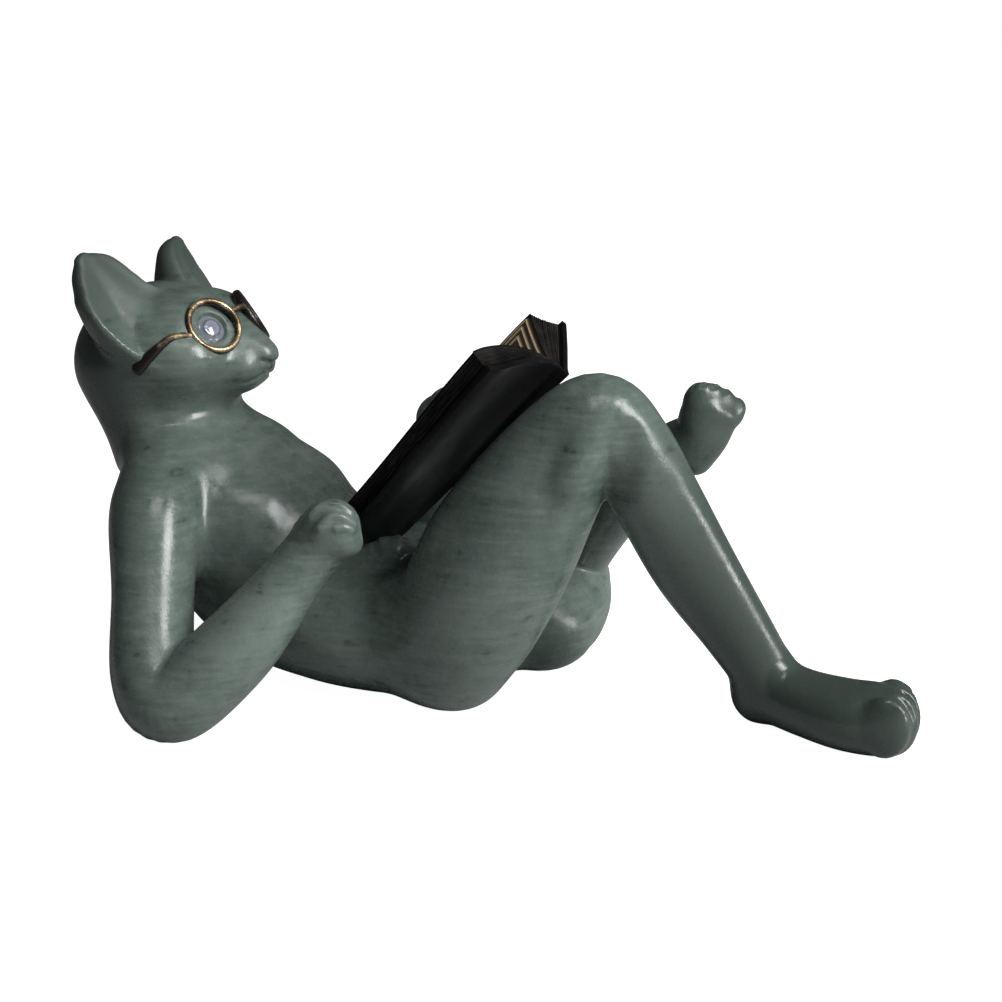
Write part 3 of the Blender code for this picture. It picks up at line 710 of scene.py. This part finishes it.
def make_pages(side, name, replaced, finish):
    """One block of pages: layered edges, and raised frames and rows on its open page."""
    fine = 2
    cells = (45 * fine, 16 * fine, 80 * fine)
    grid, quads = box_grid(cells)
    t, w, s = (grid / cells).T
    along = SHY + s * (SPINE - 2 * SHY)
    leaf = w + 0.035 * ripple(7 * t + 5 * s, side) * np.sin(math.pi * w)
    layer = np.floor(leaf * SHEAVES)
    step = np.sin(layer * 12.9 + side) * 0.5 + 0.5  # each sheaf of leaves ends elsewhere
    seam = np.abs(leaf * SHEAVES - np.round(leaf * SHEAVES))
    ridge = (0.5 + 0.5 * np.cos(leaf * 2 * math.pi * (13)))
    ridge *= np.clip(seam / 0.12, 0, 1)
    low_a, low_h = profile(BOARDS[side], t * 0.975, s)
    top_a, top_h = profile(LEAVES[side], t, s)
    across = low_a + (top_a - low_a) * leaf
    above = low_h + 0.05 + (top_h - low_h) * leaf
    edge = t > 0.999
    across = across - edge * ((1.1 if side > 0 else 0.3) * np.sin(math.pi * w)
                              + 0.45 * step + 0.35 * (1 - ridge))
    ends = (s < 0.001) | (s > 0.999)
    inset = ends * (0.5 * step + 0.4 * (1 - ridge)) * (0.3 + 0.7 * np.sin(math.pi * w) ** 0.3)
    along = along + np.where(s < 0.5, inset, -inset)
    top = w > 0.999
    relief, margin = page_relief(t, along, top_a, layer)
    raised = relief * top
    above = above + RELIEF * raised
    points = (book_point(across, along, above, side) + ANCHOR) * MM
    piece = mesh_object(name, points, quads if side < 0 else quads[:, ::-1])
    add_values(piece, "gilt", np.where(top & (margin > 0.7), 0.25 + 0.75 * raised, 0))
    add_values(piece, "worn", np.where(top, 0, ridge * (0.4 + 0.6 * step)))
    piece.data.materials.append(finish)
    piece.data.set_sharp_from_angle(angle=math.radians(50))
    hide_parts(replaced)


def make_cover(finish):
    """Both boards and the spine as one bent sheet with rounded edges."""
    rows, half = ((48, 60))
    s = np.linspace(0, 1, rows + 1)
    along = s * SPINE
    inner, outer = [], []
    for side in (-1, 1):
        for k in range(half + 1):
            t = (half - k if side < 0 else k) / half
            across, above = profile(BOARDS[side], np.full(rows + 1, t), s)
            near = 1 - np.clip(across / 3.0, 0, 1)
            thick = BOARD + 0.2 * near
            if t > 0:
                inner.append(book_point(across, along, above, side))
                outer.append(book_point(across + 0.2 * near, along, above - thick, side))
            elif side < 0:
                inner.append(book_point(across, along, above, side))
                outer.append(book_point(across - 1.3, along, 0 * above - 0.2, side))
    inner, outer = np.array(inner), np.array(outer)
    loop = np.concatenate([inner, outer[::-1]])
    count, length = len(inner), rows + 1
    sides = grid_quads(2 * count, length, ring_rows=True)[:, [0, 3, 2, 1]]
    i = np.arange(count - 1)
    pair = 2 * count - 1 - i
    head = np.stack([i, pair, pair - 1, i + 1], 1) * length
    foot = np.stack([i, i + 1, pair - 1, pair], 1) * length + rows
    points = (loop.reshape(-1, 3) + ANCHOR) * MM
    piece = mesh_object("book_cover_skin", points, np.vstack([sides, head, foot]))
    bm = bmesh.new()
    bm.from_mesh(piece.data)
    bmesh.ops.recalc_face_normals(bm, faces=bm.faces)
    bm.to_mesh(piece.data)
    bm.free()
    round_edges(piece, 0.45 * MM)
    piece.data.materials.append(finish)
    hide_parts("book_cover")


def round_edges(piece, width):
    bevel = piece.modifiers.new("edges", "BEVEL")
    bevel.width, bevel.segments, bevel.limit_method = width, 2, "ANGLE"
    bevel.angle_limit = math.radians(45)


# ---------------------------------------------------------------- spectacles and eyes


RIM, WIRE, WIRE_POINTS = 7.35, 0.95, 20  # radius of a rim, half its width, points round it
LEFT_PAINT = 0.72  # the left rim gets much less gold than the right
EYE, EYE_POINTS = 4.3, 48  # radius of an eye, and the points round it


def with_ends(rows, way):
    """Rings of a rod and their directions, with a blunt dome added at both ends."""
    turn = np.linspace(0, math.pi / 2, 6)[1:]
    caps = []
    for end, sign in ((0, -1), (-1, 1)):
        middle, (deep, wide) = rows[end, :3], rows[end, 3:]
        caps.append([(*(middle + sign * way[end] * 0.7 * wide * math.sin(a)),
                      deep * max(math.cos(a), 0.02), wide * max(math.cos(a), 0.02))
                     for a in turn])
    first, last = (np.repeat(way[end][None], len(turn), 0) for end in (0, -1))
    return np.vstack([caps[0][::-1], rows, caps[1]]), np.vstack([first, way, last])


def wire(name, stations, face, replaced, finish, closed=False, bare=False, paint=1.0):
    """A rod through (x, y, z, depth, half-width) stations; `crest` is 1 on its painted front.

    A bare one loses its paint towards its far end.
    """
    if closed:
        rows = np.array(stations, float)
        way = unit(np.roll(rows[:, :3], -1, 0) - np.roll(rows[:, :3], 1, 0))
    else:
        rows = through(stations, LOFT_STEPS)
        rows, way = with_ends(rows, ways_along(rows[:, :3]))
    across = unit(np.cross(way, np.array(face, float)))
    out = unit(np.cross(across, way))
    a = np.linspace(0, 2 * math.pi, WIRE_POINTS, endpoint=False)
    rings = (rows[:, None, :3] + out[:, None] * (rows[:, 3, None] * np.cos(a))[..., None]
             + across[:, None] * (rows[:, 4, None] * np.sin(a))[..., None])
    total, sides = len(rows), WIRE_POINTS
    faces = [grid_quads(total, sides, closed, True)]
    if not closed:
        k = np.arange(sides)
        faces += [k[None, ::-1], (k + (total - 1) * sides)[None]]
    piece = mesh_object(name, (rings.reshape(-1, 3) + ANCHOR) * MM, faces)
    fade = np.interp(np.arange(total) / total, [0, 0.5, 0.8], [1, 0.85, 0.3 if bare else 0.85])
    fade = fade if bare else np.ones(total)
    add_values(piece, "crest", paint * (fade[:, None] * (0.5 + 0.5 * np.cos(a))).ravel())
    piece.data.materials.append(finish)
    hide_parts(replaced)


def make_spectacles(gold):
    inner = []
    for side, word in ((-1, "right"), (1, "left")):
        centre, look, across, upright = lens_axes(side)
        ring = [(*(centre + (across * math.cos(a) + upright * math.sin(a)) * RIM), 1.25, WIRE)
                for a in np.linspace(0, 2 * math.pi, 72, endpoint=False)]
        wire(word + "_rim_wire", ring, look, word + "_rim", gold, closed=True,
             paint=1.0 if side < 0 else LEFT_PAINT)
        wire(word + "_temple_wire", [
            (*(centre + (across * side * 0.94 - upright * 0.3) * RIM), 1.0, 1.0),
            (-75.2, side * 20.8, 97.6, 1.0, 1.1), (-77.6, side * 23.6, 95.5, 1.0, 1.25),
            (-79.8, side * 25.2, 93.2, 1.0, 1.55), (-83.2, side * 26.6, 89.4, 0.9, 1.85),
        ], (0.3, side * 0.8, 0.5), word + "_temple", gold, bare=True)
        inner.append(centre + (across * -side * 0.88 + upright * 0.47) * RIM)
    middle = (inner[0] + inner[1]) / 2 + np.array([0.9, 0, 1.0])
    wire("bridge_wire", [(*inner[0], 0.9, 0.85), (*middle, 0.9, 0.75), (*inner[1], 0.9, 0.85)],
         (0.5, 0, 0.86), "bridge", gold)


def make_eyes(finish):
    """A shallow dome with an iris ring in relief, behind each lens opening."""
    r = np.concatenate([np.linspace(0.15, EYE, 42), [EYE, 3.0]])
    lift = -0.6 - 1.7 * (r / EYE) ** 2
    lift += 0.1 * np.exp(-(((r - 2.3) / 0.28) ** 2)) - 0.07 * np.exp(-(((r - 3.2) / 0.22) ** 2))
    lift[-2:] = -4.5
    sides = EYE_POINTS
    a = np.linspace(0, 2 * math.pi, sides, endpoint=False)
    for side, word in ((-1, "right"), (1, "left")):
        centre, look, across, upright = lens_axes(side)
        flat = across * np.cos(a)[:, None] + upright * np.sin(a)[:, None]
        rings = centre + look * lift[:, None, None] + flat * r[:, None, None]
        quads = grid_quads(len(r), sides, ring_columns=True)[:, [0, 3, 2, 1]]
        k = np.arange(sides)
        faces = [quads, k[None], (k + (len(r) - 1) * sides)[None, ::-1]]
        piece = mesh_object(word + "_eye_glass", (rings.reshape(-1, 3) + ANCHOR) * MM, faces)
        add_values(piece, "ring", np.repeat(r, sides))
        piece.data.materials.append(finish)
        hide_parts(word + "_eye")


# ---------------------------------------------------------------- materials


class Paint:
    """A procedural material, built up by small steps over object coordinates."""

    def __init__(self, name, **shader):
        self.made = bpy.data.materials.new(name)
        self.made.use_nodes = True
        self.nodes, self.links = self.made.node_tree.nodes, self.made.node_tree.links
        self.shader = self.nodes["Principled BSDF"]
        for word, value in shader.items():
            self.shader.inputs[word.replace("_", " ")].default_value = value
        self.place = self.nodes.new("ShaderNodeTexCoord").outputs["Object"]

    def feed(self, socket, value):
        if isinstance(value, bpy.types.NodeSocket):
            self.links.new(value, socket)
        else:
            socket.default_value = (*value, 1) if isinstance(value, tuple) else value

    def spot(self, stretch):
        node = self.nodes.new("ShaderNodeMapping")
        self.links.new(self.place, node.inputs["Vector"])
        node.inputs["Scale"].default_value = stretch
        return node.outputs[0]

    def noise(self, scale, detail=3.0, rough=0.55, stretch=(1, 1, 1)):
        node = self.nodes.new("ShaderNodeTexNoise")
        self.links.new(self.spot(stretch), node.inputs["Vector"])
        for word, value in (("Scale", scale), ("Detail", detail), ("Roughness", rough)):
            node.inputs[word].default_value = value
        return node.outputs[0]

    def math(self, operation, *values):
        node = self.nodes.new("ShaderNodeMath")
        node.operation = operation
        for socket, value in zip(node.inputs, values):
            self.feed(socket, value)
        return node.outputs[0]

    def ramp(self, value, low, high, to_low=0.0, to_high=1.0):
        node = self.nodes.new("ShaderNodeMapRange")
        node.interpolation_type = "SMOOTHSTEP"
        for socket, number in zip(node.inputs, (value, low, high, to_low, to_high)):
            self.feed(socket, number)
        return node.outputs[0]

    def mix(self, factor, first, second):
        node = self.nodes.new("ShaderNodeMix")
        node.data_type = "RGBA"
        self.feed(node.inputs[0], factor)
        self.feed(node.inputs[6], first)
        self.feed(node.inputs[7], second)
        return node.outputs[2]

    def value(self, name):
        node = self.nodes.new("ShaderNodeAttribute")
        node.attribute_name = name
        return node.outputs["Fac"]

    def specks(self, scale, size, share):
        """Small round spots in some of the cells of a pattern."""
        node = self.nodes.new("ShaderNodeTexVoronoi")
        self.links.new(self.place, node.inputs["Vector"])
        node.inputs["Scale"].default_value = scale
        split = self.nodes.new("ShaderNodeSeparateColor")
        self.links.new(node.outputs["Color"], split.inputs[0])
        chosen = self.math("LESS_THAN", split.outputs[0], share)
        wide = self.math("MULTIPLY", split.outputs[1], size)
        inside = self.math("LESS_THAN", node.outputs["Distance"], wide)
        return self.math("MULTIPLY", chosen, inside)

    def bump(self, height, strength, distance):
        node = self.nodes.new("ShaderNodeBump")
        node.inputs["Strength"].default_value = strength
        node.inputs["Distance"].default_value = distance
        self.links.new(height, node.inputs["Height"])
        self.links.new(node.outputs[0], self.shader.inputs["Normal"])

    def finish(self, **sockets):
        for word, value in sockets.items():
            self.feed(self.shader.inputs[word.replace("_", " ")], value)
        return self.made


def glaze_material():
    """Sea-green glaze, cloudy and brushed crossways; its painted shade for recesses and undersides
    is built but not used.
    """
    p = Paint("glaze_skin", IOR=1.5)
    broad, mottle = p.noise(30, 2), p.noise(170, 5, 0.65)
    fine, streak = p.noise(1100, 2), p.noise(75, 5, 0.7, (1, 1, 9))
    cloud = p.math("ADD", p.math("MULTIPLY", broad, 0.4),
                   p.math("ADD", p.math("MULTIPLY", mottle, 0.3), p.math("MULTIPLY", streak, 0.3)))
    colour = p.mix(p.ramp(cloud, 0.36, 0.66), (0.084, 0.118, 0.101), (0.163, 0.205, 0.184))
    worn = p.ramp(p.math("ADD", streak, p.math("MULTIPLY", fine, 0.5)), 0.78, 1.02)
    colour = p.mix(p.math("MULTIPLY", worn, 0.3), colour, (0.21, 0.25, 0.225))
    smudge = p.ramp(p.math("ADD", mottle, p.math("MULTIPLY", streak, 0.6)), 0.68, 0.56)
    colour = p.mix(p.math("MULTIPLY", smudge, 0.7), colour, (0.04, 0.062, 0.052))
    # Painted shade: near-black colour in creases and recesses, standing in for occlusion.
    recess = p.math("ADD", p.value("hollow"), p.math("MULTIPLY", mottle, 0.5))
    recess_shade = p.ramp(recess, 0.22, 1.0)
    # Painted shade: darker colour on faces that turn downward.
    split = p.nodes.new("ShaderNodeSeparateXYZ")
    p.links.new(p.nodes.new("ShaderNodeNewGeometry").outputs["Normal"], split.inputs[0])
    underside_shade = p.ramp(p.math("ADD", split.outputs["Z"], p.math("MULTIPLY", mottle, 0.5)), 0.15, -0.7)
    underside_shade = p.math("MULTIPLY", underside_shade, 0.6)
    height = p.nodes.new("ShaderNodeSeparateXYZ")
    p.links.new(p.place, height.inputs[0])
    # Painted shade: darker colour low on the right foot, close to the floor.
    foot_floor_shade = p.math("MULTIPLY", p.ramp(height.outputs["Z"], 0.016, 0.004),
                  p.ramp(height.outputs["X"], 0.06, 0.085))
    # All the painted shade together; no colour below reads it, so it draws nothing.
    dark = p.math("MAXIMUM", p.math("MAXIMUM", recess_shade, underside_shade), p.math("MULTIPLY", foot_floor_shade, 0.85))
    # Darker glaze towards the feet and the back of the head, broken by the clouds: partly the
    # dirtier patina of the shins and feet, partly painted shade.
    ends_patina_and_shade = p.math("ADD", p.ramp(height.outputs["X"], 0.035, 0.08),
                      p.ramp(height.outputs["X"], -0.082, -0.106))
    stain_and_shade = p.math("ADD", ends_patina_and_shade, p.math("MULTIPLY", cloud, 0.8))
    colour = p.mix(p.ramp(stain_and_shade, 0.45, 1.4), colour, (0.052, 0.07, 0.06))
    pits, chips = p.specks(110, 0.05, 0.35), p.specks(70, 0.035, 0.16)
    colour = p.mix(pits, colour, (0.015, 0.02, 0.018))
    colour = p.mix(chips, colour, (0.5, 0.52, 0.5))
    rough = p.ramp(p.math("ADD", mottle, p.math("MULTIPLY", pits, 0.5)), 0.3, 0.75, 0.2, 0.34)
    rough = p.math("ADD", rough, p.ramp(height.outputs["Z"], 0.098, 0.107, 0.0, 0.3))
    relief = p.math("SUBTRACT", p.math("ADD", mottle, p.math("MULTIPLY", fine, 0.15)), pits)
    p.bump(relief, 0.35, 0.0004)
    return p.finish(Base_Color=colour, Roughness=rough)


def cover_material():
    p = Paint("book_black", IOR=1.45, Specular_IOR_Level=0.3)
    cloud, fine = p.noise(60, 4), p.noise(700, 3)
    colour = p.mix(p.ramp(cloud, 0.35, 0.7), (0.0015, 0.0015, 0.002), (0.004, 0.004, 0.005))
    scuff = p.ramp(p.math("ADD", fine, cloud), 1.22, 1.4)
    colour = p.mix(p.math("MULTIPLY", scuff, 0.5), colour, (0.05, 0.046, 0.045))
    colour = p.mix(p.specks(160, 0.07, 0.12), colour, (0.45, 0.45, 0.43))
    p.bump(p.math("ADD", cloud, p.math("MULTIPLY", fine, 0.3)), 0.3, 0.0004)
    return p.finish(Base_Color=colour, Roughness=p.ramp(cloud, 0.3, 0.7, 0.32, 0.5))


def page_material():
    """Antique pages: gold-brown where the open page stands proud, black in the grooves."""
    p = Paint("page_antique", Specular_IOR_Level=0.25)
    cloud, fine = p.noise(90, 4), p.noise(800, 3)
    edge = p.mix(p.ramp(p.math("ADD", p.value("worn"), cloud), 0.7, 1.5),
                 (0.002, 0.0017, 0.0017), (0.04, 0.034, 0.031))
    open_page = p.mix(p.ramp(p.math("ADD", p.value("gilt"), p.math("MULTIPLY", cloud, 0.4)),
                             0.35, 1.1), (0.04, 0.027, 0.018), (0.85, 0.66, 0.44))
    colour = p.mix(p.ramp(p.value("gilt"), 0.05, 0.2), edge, open_page)
    colour = p.mix(p.specks(200, 0.06, 0.1), colour, (0.4, 0.37, 0.33))
    p.bump(fine, 0.4, 0.0003)
    return p.finish(Base_Color=colour, Roughness=p.ramp(cloud, 0.3, 0.7, 0.42, 0.62))


def gold_material():
    """Gold paint on the front of the wire, worn to dark brown at its sides."""
    p = Paint("spectacle_gold")
    cloud, fine = p.noise(240, 4), p.noise(1500, 2)
    gilded = p.ramp(p.math("ADD", p.value("crest"), p.math("MULTIPLY", cloud, 0.5)), 0.95, 1.3)
    tint = p.mix(p.ramp(cloud, 0.36, 0.62), (0.22, 0.13, 0.065), (0.66, 0.53, 0.32))
    colour = p.mix(gilded, (0.010, 0.007, 0.006), tint)
    p.bump(p.math("ADD", cloud, p.math("MULTIPLY", fine, 0.4)), 0.4, 0.0003)
    return p.finish(Base_Color=colour, Metallic=p.math("MULTIPLY", gilded, 0.9),
                    Roughness=p.ramp(fine, 0.3, 0.7, 0.24, 0.4))


def eye_material():
    """Lavender-grey glass with a darker iris ring and a green-grey rim."""
    p = Paint("eye_lavender", IOR=1.5, Coat_Weight=1.0, Coat_Roughness=0.04)
    cloud = p.noise(500, 3)
    ring = p.math("ADD", p.value("ring"), p.math("MULTIPLY", cloud, 0.5))
    colour = p.mix(p.ramp(ring, 0.9, 2.2), (0.22, 0.23, 0.30), (0.27, 0.28, 0.36))
    colour = p.mix(p.ramp(ring, 2.2, 2.5), colour, (0.12, 0.125, 0.16))
    colour = p.mix(p.ramp(ring, 2.75, 3.0), colour, (0.19, 0.21, 0.24))
    colour = p.mix(p.ramp(ring, 3.9, 4.4), colour, (0.06, 0.08, 0.072))
    p.bump(cloud, 0.1, 0.0002)
    return p.finish(Base_Color=colour, Roughness=p.ramp(cloud, 0.3, 0.7, 0.12, 0.2))


# ---------------------------------------------------------------- studio


# The camera stands where the figurine's outline falls as in the photograph, in metres
CAMERA_AT, CAMERA_LOOK = (0.1504, -0.3940, 0.1668), (-0.3304, 0.9077, -0.2588)
LENS_MM, SENSOR_MM = 58.2, 36
FLOOR = 8  # half the width of the floor, m
AIM = Vector((0, 0, 0.05))  # the lights point here


def direction(azimuth, elevation):
    az, el = math.radians(azimuth), math.radians(elevation)
    return Vector((math.cos(az) * math.cos(el), math.sin(az) * math.cos(el), math.sin(el)))


def softbox(name, azimuth, elevation, distance, size, power):
    """A rectangle of light that faces the figurine from a direction given in degrees."""
    light = bpy.data.lights.new(name, "AREA")
    light.shape, light.energy = "RECTANGLE", power
    light.size, light.size_y = size
    obj = bpy.data.objects.new(name, light)
    bpy.context.scene.collection.objects.link(obj)
    way = direction(azimuth, elevation)
    obj.location = AIM + way * distance
    obj.rotation_euler = way.to_track_quat("Z", "Y").to_euler()


def seen_or_not(tree, seen, unseen, output):
    """Joins two shaders: one that the camera sees, and one for the light that bounces."""
    choose, path = tree.nodes.new("ShaderNodeMixShader"), tree.nodes.new("ShaderNodeLightPath")
    tree.links.new(path.outputs["Is Camera Ray"], choose.inputs[0])
    tree.links.new(unseen.outputs[0], choose.inputs[1])
    tree.links.new(seen.outputs[0], choose.inputs[2])
    tree.links.new(choose.outputs[0], output.inputs[0])


def make_floor():
    """A plain floor that the camera sees white, and that lights the cat as dull grey."""
    mesh = bpy.data.meshes.new("floor")
    corners = [(x * FLOOR, y * FLOOR, 0) for x, y in ((-1, -1), (1, -1), (1, 1), (-1, 1))]
    mesh.from_pydata(corners, [], [(0, 1, 2, 3)])
    floor = bpy.data.objects.new("floor", mesh)
    bpy.context.scene.collection.objects.link(floor)
    p = Paint("floor_white", Roughness=0.9, Emission_Color=(1, 1, 1, 1), Emission_Strength=0.98)
    grain = p.noise(300, 2)
    pale = p.mix(grain, (0.82, 0.82, 0.82), (0.86, 0.86, 0.86))
    mesh.materials.append(p.finish(Base_Color=pale))
    dull = p.nodes.new("ShaderNodeBsdfDiffuse")
    dull.inputs["Color"].default_value = (0.5, 0.5, 0.5, 1)
    seen_or_not(p.made.node_tree, p.shader, dull, p.nodes["Material Output"])


def make_world():
    """Nearly black round the cat, and white behind it for the camera."""
    world = bpy.data.worlds.new("studio")
    world.use_nodes = True
    nodes = world.node_tree.nodes
    nodes["Background"].inputs["Color"].default_value = (1, 1, 1, 1)
    nodes["Background"].inputs["Strength"].default_value = 0.05
    white = nodes.new("ShaderNodeBackground")
    white.inputs["Color"].default_value = (1, 1, 1, 1)
    seen_or_not(world.node_tree, white, nodes["Background"], nodes["World Output"])
    bpy.context.scene.world = world


def make_studio():
    make_floor()
    make_world()
    bpy.context.scene.view_settings.view_transform = "Standard"
    softbox("key", -13, 33, 1.25, (0.4, 0.85), 17)
    softbox("low", 8, 1, 1.2, (0.25, 0.3), 4)
    softbox("top", -60, 64, 0.9, (0.4, 0.16), 1.2)
    camera = bpy.data.cameras.new("camera")
    camera.lens, camera.sensor_width = LENS_MM, SENSOR_MM
    camera.clip_start, camera.clip_end = 0.01, 20
    eye = bpy.data.objects.new("camera", camera)
    bpy.context.scene.collection.objects.link(eye)
    eye.location = CAMERA_AT
    eye.rotation_euler = Vector(CAMERA_LOOK).to_track_quat("-Z", "Y").to_euler()
    bpy.context.scene.camera = eye


make_skin(glaze_material())
make_cover(cover_material())
pages = page_material()
make_pages(-1, "right_pages", "right_page_block", pages)
make_pages(1, "left_pages", "left_page_block", pages)
make_spectacles(gold_material())
make_eyes(eye_material())
make_studio()
